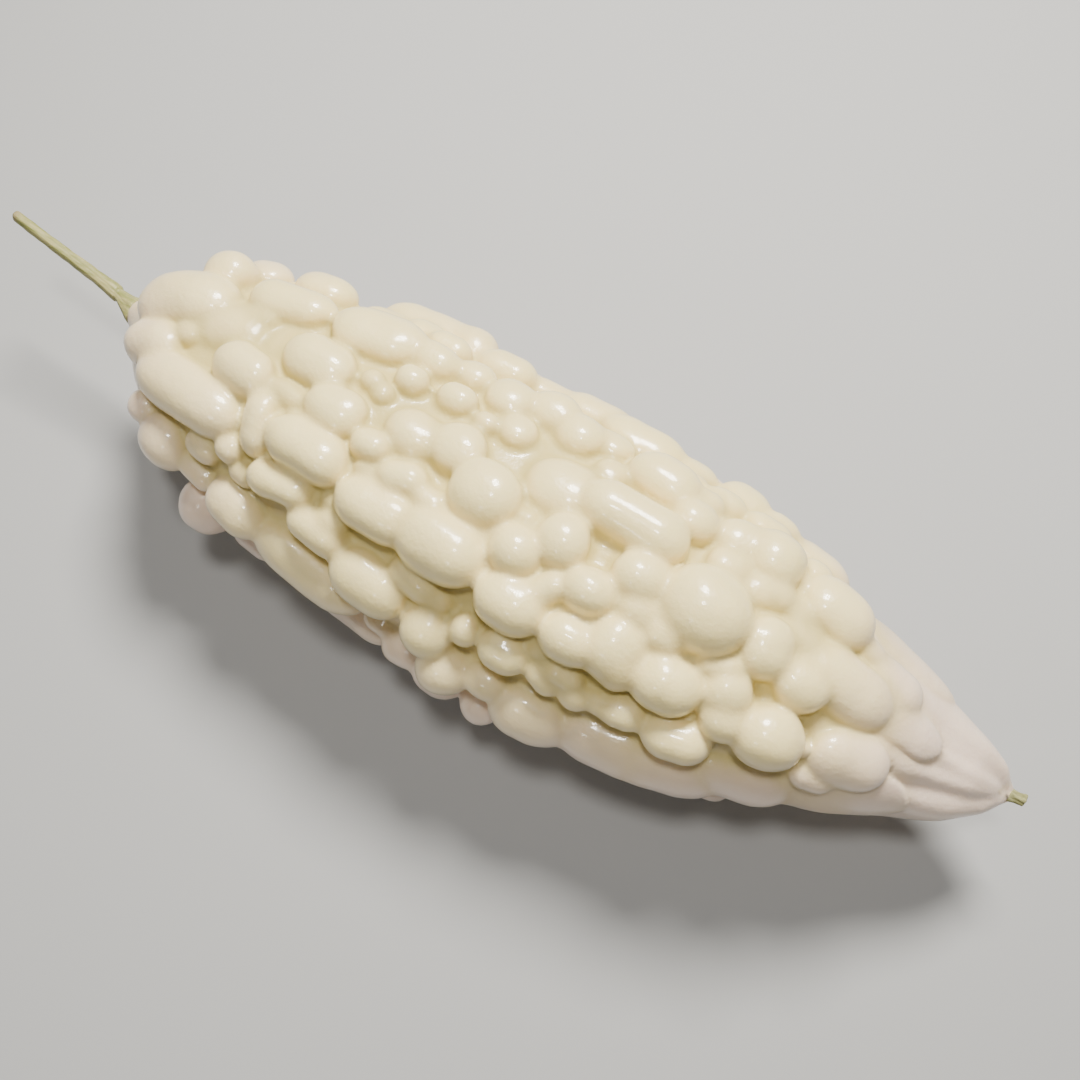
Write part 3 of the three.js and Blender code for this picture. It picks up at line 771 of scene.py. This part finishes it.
        none, far = np.zeros(len(flat_start)), np.full(len(flat_start), self.far)
        plain = self.halve(none, far, in_body, self.plain_halvings)
        warty.find_near(at(plain + self.over_plain), self.search_margin)
        r = plain + self.search_from
        searching = np.ones(len(r), bool)
        for _ in range(int(self.search_way / self.step)):
            searching &= warty.distance(at(r))[0] > 0
            r = np.where(searching, r - self.step, r)
        r = self.halve(r, r + self.step, in_gourd, self.halvings)
        return at(r).reshape(start.shape)

    def pull(self, warty: WartyField, p: np.ndarray) -> np.ndarray:
        """Pulls points back to the skin, by the distance over the squared slope.

        Args:
            warty: The gourd.
            p: The points that find_near was told of, shape (..., 3).

        Returns:
            The pulled points, in the same shape.
        """
        flat = p.reshape(-1, 3)
        d, g = warty.distance(flat)
        way = np.clip(d, -self.longest_pull, self.longest_pull)
        share = way / np.maximum(dot(g, g), self.least_slope)
        return (flat - share[:, None] * g).reshape(p.shape)

    def even_out(self, warty: WartyField, points: np.ndarray) -> np.ndarray:
        """Slides the vertices along the skin towards their six neighbours' middle.

        The first and the last ring stay where they are.

        Args:
            warty: The gourd.
            points: The vertices, shape (rings, sides, 3).

        Returns:
            Where they end up, in the same shape.
        """
        points = points.copy()
        before, here, after = points[:-2], points[1:-1], points[2:]
        odd = (np.arange(len(points)) % 2 == 1)[1:-1, None, None]
        warty.find_near(here.reshape(-1, 3), warty.margin)
        for _ in range(self.slides):
            rows = before + after
            total = np.roll(here, 1, 1) + np.roll(here, -1, 1) + before + after
            total += np.where(odd, np.roll(rows, -1, 1), np.roll(rows, 1, 1))
            here[:] = self.pull(warty, here + self.slide * (total / 6 - here))
        for _ in range(self.last_pulls):
            here[:] = self.pull(warty, here)
        return points

    def wavering(self, p: np.ndarray) -> np.ndarray:
        """Smooth irregular numbers round 0: a sum of plane waves in drawn directions.

        Args:
            p: Points, shape (n, 3).

        Returns:
            The numbers, shape (n,), mostly between -1 and 1.
        """
        draw = np.random.default_rng(self.seed)
        directions = unit(draw.normal(size=(self.waves, 3)))
        lengths = draw.uniform(*self.wave_lengths, self.waves)
        phases = draw.uniform(0.0, 2 * np.pi, self.waves)
        weights = lengths / lengths.mean()
        total = np.sin(p @ (directions * 2 * np.pi / lengths[:, None]).T + phases) @ weights
        return total / math.sqrt(self.waves / 2)

    def build(self) -> bpy.types.Object:
        """Makes the skin, with its crease and height numbers on its vertices.

        Returns:
            The finished piece, without its material.
        """
        warty = WartyField(self.body)
        warty.grow(self.rule.place(self.body))
        grid = self.even_out(warty, self.cast(warty))
        rings, sides = grid.shape[:2]
        ends = self.body.axis(np.array([0.0, self.body.length]))
        points = np.concatenate([grid.reshape(-1, 3), ends])
        warty.find_near(points, warty.margin)
        _, out = warty.distance(points)
        crease, height = warty.relief(points, self.crease_blend)
        points = points + unit(out) * (self.waver * self.wavering(points))[:, None]
        points[:, 2] = np.maximum(points[:, 2], 0.0)
        piece = make_piece("gourd_skin", points, ring_triangles(rings, sides, True))
        # The material reads these numbers for the crease colour, which paints shade in the creases,
        # and for the duller wax there.
        set_number(piece, "crease", crease)
        set_number(piece, "height", height)
        return piece


@dataclass(frozen=True)
class Sweep:
    """A round piece along a smooth route, with its radius set at shares of the route.

    Its rings turn left-handed about the way, so that its faces point outwards.

    Attributes:
        route: Points that the middle line passes, in the gourd's own frame.
        shares: Where the radius is set.
        radii: The radius there.
        rings: Rings of the mesh.
        sides: Vertices of each ring.
    """

    route: tuple[Triple, ...]
    shares: tuple[float, ...]
    radii: tuple[float, ...]
    rings: int
    sides: int

    def grid(self, shape: Shape) -> tuple[np.ndarray, np.ndarray]:
        """Works out the rings.

        The middle line is the smooth curve through the route, by its length. Each ring lies
        square to X, at the radius times what shape gives for its share and angle.

        Args:
            shape: Takes shares and angles, both of shape (rings, sides), and gives factors.

        Returns:
            The rings, shape (rings, sides, 3), and the two end points, shape (2, 3).
        """
        route = np.array(self.route, float)
        way = np.concatenate([[0.0], np.cumsum(np.linalg.norm(np.diff(route, axis=0), axis=1))])
        at = np.linspace(0.0, way[-1], self.rings)
        line = np.stack([smooth_curve(way, route[:, k], at) for k in range(3)], -1)
        side = np.sign(route[0, 0] - route[1, 0])
        share = at / way[-1]
        radius = smooth_curve(np.array(self.shares), np.array(self.radii), share)
        a = np.arange(self.sides) * 2 * np.pi / self.sides
        share_grid, angle_grid = np.meshgrid(share, a, indexing="ij")
        r = (radius[:, None] * shape(share_grid, angle_grid))[..., None]
        spokes = np.stack([0.0 * a, side * np.cos(a), np.sin(a)], -1)
        return line[:, None] + r * spokes[None], line[[0, -1]]

    def build(self, name: str, shape: Shape) -> bpy.types.Object:
        """Makes the piece, closed at both ends.

        Args:
            name: The piece's name.
            shape: What the radius is multiplied by, as grid takes it.

        Returns:
            The piece, without its material.
        """
        grid, ends = self.grid(shape)
        points = np.concatenate([grid.reshape(-1, 3), ends])
        return make_piece(name, points, ring_triangles(self.rings, self.sides, False))


@dataclass(frozen=True)
class Stalk:
    """The cut stalk: ribbed lengthwise, with a joint low down and a foot that flares out.

    Attributes:
        sweep: Its route and radius.
        ribs: How many ribs run along it.
        rib_depth: How far they stand out, as a share of the radius.
        fine_ribs: How many finer ribs there are for each rib.
        fine_share: How far those stand out, as a share of the ribs.
        fine_turn: How far they are turned from the ribs, in radians of their own waves.
        twist: How far the ribs turn round on the way, in radians.
        swellings: The waves of the radius along the stalk: size as a share of it, radians
            from end to end, and start in radians.
    """

    sweep: Sweep = Sweep(
        route=(
            (0.6, 1.5, 39.9), (-2.5, 2.3, 40.4), (-6.2, 3.4, 41.2), (-13.0, 4.4, 42.3),
            (-22.0, 5.4, 43.8), (-32.0, 6.6, 45.2), (-40.8, 7.8, 46.0),
        ),
        shares=(
            0.0, 0.02, 0.05, 0.08, 0.11, 0.14, 0.155, 0.17, 0.19, 0.225, 0.31, 0.5, 0.8, 0.985, 1.0,
        ),
        radii=(3.6, 3.4, 3.0, 2.65, 2.25, 1.9, 1.85, 2.2, 2.15, 2.05, 1.85, 1.65, 1.5, 1.42, 1.1),
        rings=170,
        sides=60,
    )
    ribs: int = 5
    rib_depth: float = 0.045
    fine_ribs: int = 3
    fine_share: float = 0.4
    fine_turn: float = 1.3
    twist: float = 0.6
    swellings: tuple[Triple, ...] = ((0.03, 31.0, 0.6), (0.02, 67.0, 0.0))

    def factor(self, share: np.ndarray, angle: np.ndarray) -> np.ndarray:
        """Rounded ribs, with finer ones between them, and slow swellings along the stalk.

        It is 1, plus a cosine of the turned angle for each kind of rib, plus sines of the share.

        Args:
            share: Shares of the way along.
            angle: Angles in radians, in the same shape.

        Returns:
            What the radius is multiplied by, in the same shape.
        """
        turned = angle + self.twist * share
        coarse = self.rib_depth * np.cos(self.ribs * turned)
        waves = self.fine_ribs * self.ribs * turned + self.fine_turn
        fine = self.fine_share * self.rib_depth * np.cos(waves)
        swelling = sum(size * np.sin(rate * share + start) for size, rate, start in self.swellings)
        return 1.0 + coarse + fine + swelling

    def build(self) -> bpy.types.Object:
        """Makes the stalk."""
        return self.sweep.build("ribbed_stalk", self.factor)


@dataclass(frozen=True)
class BlossomRemnant:
    """The short dry stub that the blossom leaves at the tip, pinched, with a frayed end.

    Attributes:
        reach: Points of its middle line, from the tip of the body.
        shares: Where its radius is set.
        radii: The radius there.
        folds: How many folds run along it.
        fold_depth: How deep they are halfway along, as a share of the radius.
        foot_share: How deep they are at the foot, as a share of that. The share grows by 1.
        fold_turn: How far the folds turn on the way, in radians of their own waves.
        fold_middle: The height of a fold's wave, from 0 to 1, that is the plain radius.
        uneven: How much the radius differs round the stub, as a share of it.
        uneven_turn: Where that wave starts at the foot, and how far it turns on the way, in
            radians of its own.
        rings: Rings of the mesh.
        sides: Vertices of each ring.
    """

    reach: tuple[Triple, ...] = (
        (-0.6, 0.0, 0.0), (1.4, 0.2, 0.1), (3.2, 0.5, 0.4),
    )
    shares: tuple[float, ...] = (0.0, 0.3, 0.55, 0.8, 0.95, 1.0)
    radii: tuple[float, ...] = (1.75, 1.45, 1.35, 1.55, 1.55, 1.15)
    folds: int = 6
    fold_depth: float = 0.16
    foot_share: float = 0.5
    fold_turn: float = 1.1
    fold_middle: float = 0.6
    uneven: float = 0.07
    uneven_turn: Pair = (0.4, 5.0)
    rings: int = 48
    sides: int = 60

    def factor(self, share: np.ndarray, angle: np.ndarray) -> np.ndarray:
        """Deep folds, uneven from one to the next, that open towards the frayed end.

        It is 1, plus the size of a sine of the angle, which makes sharp folds, plus a sine of
        twice the angle.

        Args:
            share: Shares of the way along.
            angle: Angles in radians, in the same shape.

        Returns:
            What the radius is multiplied by, in the same shape.
        """
        start, turn = self.uneven_turn
        open_out = self.foot_share + share
        folded = np.abs(np.sin(self.folds / 2 * angle + self.fold_turn * share)) - self.fold_middle
        uneven = self.uneven * np.sin(2.0 * angle + turn * share + start)
        return 1.0 + self.fold_depth * open_out * folded + uneven

    def build(self, body: GourdBody) -> bpy.types.Object:
        """Makes the stub at the body's tip."""
        tip = body.axis(np.array(body.length))
        route = tuple(tuple(tip + np.array(step)) for step in self.reach)
        sweep = Sweep(route, self.shares, self.radii, self.rings, self.sides)
        return sweep.build("dry_blossom_stub", self.factor)


class Value:
    """A number on a shader socket. Python's own arithmetic on it adds Math nodes."""

    def __init__(self, nodes: "NodeMaker", socket: bpy.types.NodeSocket | None) -> None:
        """Wraps a socket of a node tree."""
        self.nodes = nodes
        self.socket = socket

    def math(self, operation: str, *others: "Value | float") -> "Value":
        """The result of one Math node on this value and others."""
        sockets = dict(enumerate((self, *others)))
        return self.nodes.add("ShaderNodeMath", {"operation": operation}, sockets)

    def __add__(self, other: "Value | float") -> "Value":
        """This plus other."""
        return self.math("ADD", other)

    __radd__ = __add__

    def __mul__(self, other: "Value | float") -> "Value":
        """This times other."""
        return self.math("MULTIPLY", other)

    __rmul__ = __mul__

    def __sub__(self, other: "Value | float") -> "Value":
        """This minus other."""
        return self.math("SUBTRACT", other)

    def __rsub__(self, other: float) -> "Value":
        """Other minus this."""
        return self.nodes.add("ShaderNodeMath", {"operation": "SUBTRACT"}, {0: other, 1: self})

    def __pow__(self, power: float) -> "Value":
        """This to a power."""
        return self.math("POWER", power)

    def step(self, low: float, high: float) -> "Value":
        """0 below low, 1 above high and a smooth rise between."""
        settings = {"interpolation_type": "SMOOTHSTEP"}
        inputs = {"Value": self, "From Min": low, "From Max": high}
        return self.nodes.add("ShaderNodeMapRange", settings, inputs, "Result")


class NodeMaker:
    """Adds nodes to one material, and gives their outputs as values."""

    def __init__(self, name: str) -> None:
        """Makes an empty material with an output node."""
        self.material = bpy.data.materials.new(name)
        self.material.use_nodes = True
        self.tree = self.material.node_tree
        self.tree.nodes.clear()

    def add(self, kind: str, settings: dict, inputs: dict, output: str | int = 0) -> Value:
        """Adds one node.

        Args:
            kind: The node's type.
            settings: Its properties, which are set first.
            inputs: Values or links of its sockets, by name or number.
            output: The name or number of the socket that is handed back.

        Returns:
            That output, as a value. It is empty for a node that has no output.
        """
        node = self.tree.nodes.new(kind)
        for name, setting in settings.items():
            setattr(node, name, setting)
        for name, given in inputs.items():
            if isinstance(given, Value):
                self.tree.links.new(given.socket, node.inputs[name])
            else:
                node.inputs[name].default_value = given
        if not node.outputs:
            return Value(self, None)
        return Value(self, node.outputs[output])

    def attribute(self, name: str) -> Value:
        """A number that the mesh holds on its vertices."""
        return self.add("ShaderNodeAttribute", {"attribute_name": name}, {}, "Fac")

    def place(self) -> Value:
        """The point's place in the row frame, in metres."""
        return self.add("ShaderNodeTexCoord", {}, {}, "Object")

    def along(self, axis: int) -> Value:
        """One of the place's three numbers."""
        return self.add("ShaderNodeSeparateXYZ", {}, {0: self.place()}, axis)

    def noise(
        self,
        scale: float,
        stretch: Triple = (1.0, 1.0, 1.0),
        detail: float = 3.0,
        roughness: float = 0.6,
    ) -> Value:
        """Soft noise on the place.

        Args:
            scale: Features to the metre, about.
            stretch: What X, Y and Z are multiplied by first. Less makes features longer.
            detail: How many finer layers lie over the first.
            roughness: How strong each is, as a share of the one before.

        Returns:
            The noise, from about 0 to 1.
        """
        moved = self.add("ShaderNodeMapping", {}, {"Vector": self.place(), "Scale": stretch})
        inputs = {"Vector": moved, "Scale": scale, "Detail": detail, "Roughness": roughness}
        return self.add("ShaderNodeTexNoise", {}, inputs, "Fac")

    def mix(self, amount: Value | float, one: Value | tuple, two: Value | tuple) -> Value:
        """One colour changing to another as amount goes from 0 to 1."""
        settings = {"data_type": "RGBA"}
        return self.add("ShaderNodeMix", settings, {0: amount, 6: colour(one), 7: colour(two)}, 2)

    def bump(self, height: Value, distance: float) -> Value:
        """A normal that makes a height of 1 look raised by a distance in metres."""
        inputs = {"Height": height, "Distance": distance, "Strength": 1.0}
        return self.add("ShaderNodeBump", {}, inputs, "Normal")

    def surface(self, sockets: dict) -> bpy.types.Material:
        """Ends the material in a Principled shader with these sockets."""
        shader = self.add("ShaderNodeBsdfPrincipled", {}, sockets, "BSDF")
        self.add("ShaderNodeOutputMaterial", {}, {"Surface": shader})
        return self.material


def colour(value: Value | tuple) -> Value | tuple:
    """Gives three numbers an alpha of 1, and leaves a value as it is."""
    return value if isinstance(value, Value) else (*value, 1.0)


@dataclass(frozen=True)
class WaxySkin:
    """Waxy, faintly see-through skin: cream on the wart tops, yellower and darker down in the
    creases, where the darkening is painted shade.

    Attributes:
        cream: The wart tops along the upper middle.
        blush: The pinker colour given to the wart tops low down and at both ends.
        crease: The colour deep in the creases: the skin's own deeper yellow, darkened as painted
            shade.
        roughness: Of the wax on top, where it is smoothest.
        scatter: How far light travels under the skin, in metres.
        low: Heights in metres between which the low skin ends.
        middle: The place along X, in metres, where the skin is creamiest.
        half_length: How far from there the ends have their full blush, in metres.
        patches: Slow patches of blush to the metre.
        blush_shares: How much being low, being near an end and a patch add to the blush.
        wart_rise: Heights over the body, in millimetres, between which the crease colour ends.
        tip: Places along X, in metres, between which the blossom end begins. Its warts are low
            and still pale.
        tip_fade: How much of the colour by height is left out there.
        fold: Crease numbers between which the colour of a fold sets in.
        tint_and_shade_shares: How much the height and the fold add to the crease colour.
        low_fade: How much of the crease colour is left out low down.
        mottle: Mottles to the metre, and how much they add to the crease colour.
        sharp_fold: Crease numbers between which the wax gets dull.
        dullness: How much rougher it is in there.
        coat: The clear coat outside the folds.
        smears: Smears in the wax to the metre, and how much rougher they are.
        grains: Two grains of the relief: features to the metre, and share of it.
        relief: How high the grains look, in metres.
    """

    cream: Triple = (0.97, 0.79, 0.38)
    blush: Triple = (0.88, 0.70, 0.56)
    crease: Triple = (0.63, 0.52, 0.20)
    roughness: float = 0.27
    scatter: float = 0.0014
    low: Pair = (0.03, 0.075)
    middle: float = 0.005
    half_length: float = 0.12
    patches: float = 18.0
    blush_shares: Triple = (0.75, 0.55, 0.9)
    wart_rise: Pair = (-0.5, 5.5)
    tip: Pair = (0.085, 0.118)
    tip_fade: float = 0.8
    fold: Pair = (0.03, 0.5)
    tint_and_shade_shares: Pair = (0.7, 0.4)
    low_fade: float = 0.55
    mottle: Pair = (160.0, 0.14)
    sharp_fold: Pair = (0.2, 0.6)
    dullness: float = 0.35
    coat: float = 0.6
    smears: Pair = (120.0, 0.12)
    grains: tuple[Pair, ...] = ((900.0, 0.4), (300.0, 1.1))
    relief: float = 0.0002

    def pinkness(self, nodes: NodeMaker, low: Value) -> Value:
        """How far the wart tops turn from cream to blush.

        The way to an end is squared, so that the middle stays even. A smooth step over the sum
        keeps the palest and the pinkest skin plain.

        Args:
            nodes: The material's nodes.
            low: 1 low down and 0 higher up.

        Returns:
            0 for cream to 1 for blush.
        """
        by_low, by_end, by_patch = self.blush_shares
        ends = ((nodes.along(0) - self.middle) * (1 / self.half_length)) ** 2.0
        patch = nodes.noise(self.patches, detail=2.0, roughness=0.5) - 0.5
        # The wart tops turn pinker low down, towards the ends and in slow patches.
        return (low * by_low + ends * by_end + patch * by_patch).step(0.1, 0.9)

    def depth(self, nodes: NodeMaker, crease: Value, low: Value) -> Value:
        """How deep in a crease the skin is, as the mask of the crease colour with its painted shade.

        Args:
            nodes: The material's nodes.
            crease: The crease number.
            low: 1 low down and 0 higher up.

        Returns:
            0 on a wart's top to about 1 deep in a crease, mottled a little.
        """
        by_height, by_fold = self.tint_and_shade_shares
        features, amount = self.mottle
        tip = nodes.along(0).step(*self.tip)
        # Low between the warts the crease colour sets in: the skin's deeper yellow, darkened as
        # painted shade.
        sunk_tint_and_shade = (1.0 - nodes.attribute("height").step(*self.wart_rise)) * (1.0 - tip * self.tip_fade)
        depth = (sunk_tint_and_shade * by_height + crease.step(*self.fold) * by_fold) * (1.0 - low * self.low_fade)
        return depth + (nodes.noise(features) - 0.5) * amount

    def build(self) -> bpy.types.Material:
        """Makes the material."""
        nodes = NodeMaker("waxy_skin")
        crease = nodes.attribute("crease")
        low = 1.0 - nodes.along(2).step(*self.low)
        top = nodes.mix(self.pinkness(nodes, low), self.cream, self.blush)
        folded = crease.step(*self.sharp_fold)
        smear = nodes.noise(self.smears[0], detail=2.0, roughness=0.5) * self.smears[1]
        fine, coarse = (nodes.noise(features) * share for features, share in self.grains)
        return nodes.surface({
            # The crease colour is the skin's own deeper yellow, darkened as painted shade in the
            # creases.
            "Base Color": nodes.mix(self.depth(nodes, crease, low).step(0.0, 1.0), top, self.crease),
            "Roughness": smear + folded * self.dullness + self.roughness,
            "Subsurface Weight": 0.4,
            "Subsurface Radius": (1.0, 0.95, 0.7),
            "Subsurface Scale": self.scatter,
            "Coat Weight": (1.0 - folded) * self.coat,
            "Coat Roughness": 0.09,
            "IOR": 1.45,
            "Normal": nodes.bump(fine + coarse, self.relief),
        })


@dataclass(frozen=True)
class GreenStalk:
    """Fresh fibrous stalk: pale green and yellow streaks lengthwise, duller at the cut.

    Attributes:
        green: The greener streaks.
        straw: The yellower streaks.
        cut: The dull end, where the stalk is cut off.
        cut_place: Places along X, in metres, between which the dull end gives way.
        cut_share: How much of the streaks' colour it hides.
        streaks: Streaks to the metre across the stalk.
        streak_stretch: What X, Y and Z are multiplied by for them.
        fibres: Fibres to the metre across the stalk.
        fibre_stretch: What X, Y and Z are multiplied by for them.
        relief: How high the fibres look, in metres.
    """

    green: Triple = (0.24, 0.25, 0.07)
    straw: Triple = (0.42, 0.38, 0.16)
    cut: Triple = (0.30, 0.24, 0.12)
    cut_place: Pair = (-0.1462, -0.1440)
    cut_share: float = 0.85
    streaks: float = 700.0
    streak_stretch: Triple = (0.12, 1.0, 1.0)
    fibres: float = 2200.0
    fibre_stretch: Triple = (0.1, 1.0, 1.0)
    relief: float = 0.0001

    def build(self) -> bpy.types.Material:
        """Makes the material."""
        nodes = NodeMaker("green_stalk")
        streaks = nodes.noise(self.streaks, self.streak_stretch)
        base = nodes.mix(streaks.step(0.35, 0.65), self.green, self.straw)
        cut = 1.0 - nodes.along(0).step(*self.cut_place)
        fibres = nodes.noise(self.fibres, self.fibre_stretch, detail=2.0, roughness=0.5)
        return nodes.surface({
            "Base Color": nodes.mix(cut * self.cut_share, base, self.cut),
            "Roughness": 0.5,
            "Subsurface Weight": 0.25,
            "Subsurface Radius": (1.0, 0.9, 0.4),
            "Subsurface Scale": 0.0012,
            "Normal": nodes.bump(fibres, self.relief),
        })


@dataclass(frozen=True)
class DryBlossom:
    """Dry, papery plant matter: dull green-brown with paler fibres.

    Attributes:
        dark: The colour between the fibres.
        pale: The fibres.
        fibres: Fibres to the metre across the stub.
        stretch: What X, Y and Z are multiplied by for them.
        relief: How high they look, in metres.
    """

    dark: Triple = (0.20, 0.19, 0.07)
    pale: Triple = (0.38, 0.37, 0.17)
    fibres: float = 1500.0
    stretch: Triple = (0.2, 1.0, 1.0)
    relief: float = 0.00015

    def build(self) -> bpy.types.Material:
        """Makes the material."""
        nodes = NodeMaker("dry_blossom")
        fibres = nodes.noise(self.fibres, self.stretch)
        return nodes.surface({
            "Base Color": nodes.mix(fibres.step(0.3, 0.7), self.dark, self.pale),
            "Roughness": 0.85,
            "Normal": nodes.bump(fibres, self.relief),
        })


@dataclass(frozen=True)
class PaleFloor:
    """A plain pale matt floor."""

    shade: Triple = (0.42, 0.42, 0.41)

    def build(self) -> bpy.types.Material:
        """Makes the material."""
        return NodeMaker("pale_floor").surface({"Base Color": colour(self.shade), "Roughness": 0.8})


@dataclass(frozen=True)
class Lamp:
    """A flat round or oval light that faces the gourd, set by its direction from it.

    Attributes:
        name: The light's name.
        direction: From the gourd's middle towards the light.
        away: How far off it is, in metres.
        size: Its two widths in metres, side to side and end to end.
        power: In watts.
        tint: The light's colour.
    """

    name: str
    direction: Triple
    away: float
    size: Pair
    power: float
    tint: Triple = (1.0, 1.0, 1.0)

    def build(self, middle: Vector) -> None:
        """Hangs the light, facing the gourd's middle."""
        light = bpy.data.lights.new(self.name, "AREA")
        light.shape = "ELLIPSE"
        light.size, light.size_y = self.size
        light.energy = self.power
        light.color = self.tint
        holder = bpy.data.objects.new(self.name, light)
        way = Vector(self.direction).normalized()
        holder.location = middle + way * self.away
        holder.rotation_euler = (-way).to_track_quat("-Z", "Y").to_euler()
        bpy.context.collection.objects.link(holder)


@dataclass(frozen=True)
class Studio:
    """The pale floor, the soft lights and the camera, which looks steeply down.

    Attributes:
        eye: Where the camera is, in metres in the row frame.
        heading: How far the picture's right is turned from +X towards +Y, in degrees.
        elevation: How steeply the camera looks down, in degrees.
        roll: How far the horizon rises to the right, in degrees.
        focal: The lens's focal length in millimetres.
        sensor: The sensor's side in millimetres.
        nearest: The least distance that the camera shows, in metres.
        floor_side: The floor's side in metres.
        ambience: The strength of the even light all round.
        lamps: The key light, a small one overhead that gives the highlights, a faint one from
            the near side, and a wide soft one that fills the shadows.
    """

    eye: Triple = (0.0653, -0.0681, 0.313)
    heading: float = 33.1
    elevation: float = 72.5
    roll: float = 3.5
    focal: float = 38.87
    sensor: float = 36.0
    nearest: float = 0.01
    floor_side: float = 3.0
    ambience: float = 0.04
    lamps: tuple[Lamp, ...] = (
        Lamp("key_light", (-0.05, 0.52, 0.85), 0.65, (0.2, 0.2), 10.5, (1.0, 0.97, 0.92)),
        Lamp("overhead", (0.05, -0.02, 1.0), 0.7, (0.1, 0.1), 2.2, (1.0, 0.98, 0.95)),
        Lamp("side_light", (-0.05, -0.75, 0.66), 0.6, (0.1, 0.1), 0.3),
        Lamp("soft_fill", (-0.5, -0.25, 0.85), 0.9, (0.7, 0.7), 0.7, (0.98, 0.98, 1.0)),
    )

    def aim(self) -> Matrix:
        """The camera's place and turn.

        The level right and the way ahead come from the heading and the elevation. The picture's
        right and top are then turned about the way ahead by the roll.

        Returns:
            The camera's world matrix.
        """
        heading, rise, roll = map(math.radians, (self.heading, self.elevation, self.roll))
        right = Vector((math.cos(heading), math.sin(heading), 0.0))
        ground = Vector((-math.sin(heading), math.cos(heading), 0.0))
        ahead = ground * math.cos(rise) - Vector((0.0, 0.0, math.sin(rise)))
        top = right.cross(ahead)
        rolled = right * math.cos(roll) - top * math.sin(roll)
        rolled_top = right * math.sin(roll) + top * math.cos(roll)
        turn = Matrix((rolled, rolled_top, -ahead)).transposed().to_4x4()
        turn.translation = Vector(self.eye)
        return turn

    def build(self) -> None:
        """Sets the camera, the lights, the even light and the floor."""
        lens = bpy.data.cameras.new("camera")
        lens.sensor_width = self.sensor
        lens.lens = self.focal
        lens.clip_start = self.nearest
        camera = bpy.data.objects.new("camera", lens)
        camera.matrix_world = self.aim()
        bpy.context.collection.objects.link(camera)
        bpy.context.scene.camera = camera
        low, high = (Vector(corner) for corner in CAD_BOX)
        for lamp in self.lamps:
            lamp.build((low + high) / 2)
        world = bpy.data.worlds.new("even_light")
        world.use_nodes = True
        background = world.node_tree.nodes["Background"]
        background.inputs["Strength"].default_value = self.ambience
        background.inputs["Color"].default_value = (1.0, 1.0, 1.0, 1.0)
        bpy.context.scene.world = world
        self.lay_floor()

    def lay_floor(self) -> None:
        """Lays the floor just under the gourd."""
        half = self.floor_side / 2
        corners = [(-half, -half, 0.0), (half, -half, 0.0), (half, half, 0.0), (-half, half, 0.0)]
        mesh = bpy.data.meshes.new("floor")
        mesh.from_pydata(corners, [], [(0, 1, 2, 3)])
        mesh.materials.append(PaleFloor().build())
        floor = bpy.data.objects.new("floor", mesh)
        bpy.context.collection.objects.link(floor)
        floor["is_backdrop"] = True


def dress(piece: bpy.types.Object, material: bpy.types.Material, node: str) -> None:
    """Gives a piece its finish and its place in the frame, and reports it.

    Args:
        piece: The finished piece.
        material: Its finish.
        node: The CAD node that it stands for.
    """
    piece.data.materials.append(material)
    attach(piece, BODY)
    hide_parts(node)
    log.info("%s stands for %s with %d faces", piece.name, node, len(piece.data.polygons))


def main() -> None:
    """Builds the studio and the gourd's three pieces."""
    logging.basicConfig(level=logging.INFO, format="%(name)s: %(message)s")
    Studio().build()
    body = GourdBody()
    detail = Detail.FINE
    dress(FruitSkin(body, WartRule(), detail).build(), WaxySkin().build(), "fruit")
    dress(Stalk().build(), GreenStalk().build(), "stem")
    dress(BlossomRemnant().build(body), DryBlossom().build(), "blossom_remnant")
    boxes = {"cad": CAD_BOX, "visual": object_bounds()}
    json.dumps({name: np.array(box).tolist() for name, box in boxes.items()})


if __name__ == "__main__":
    main()
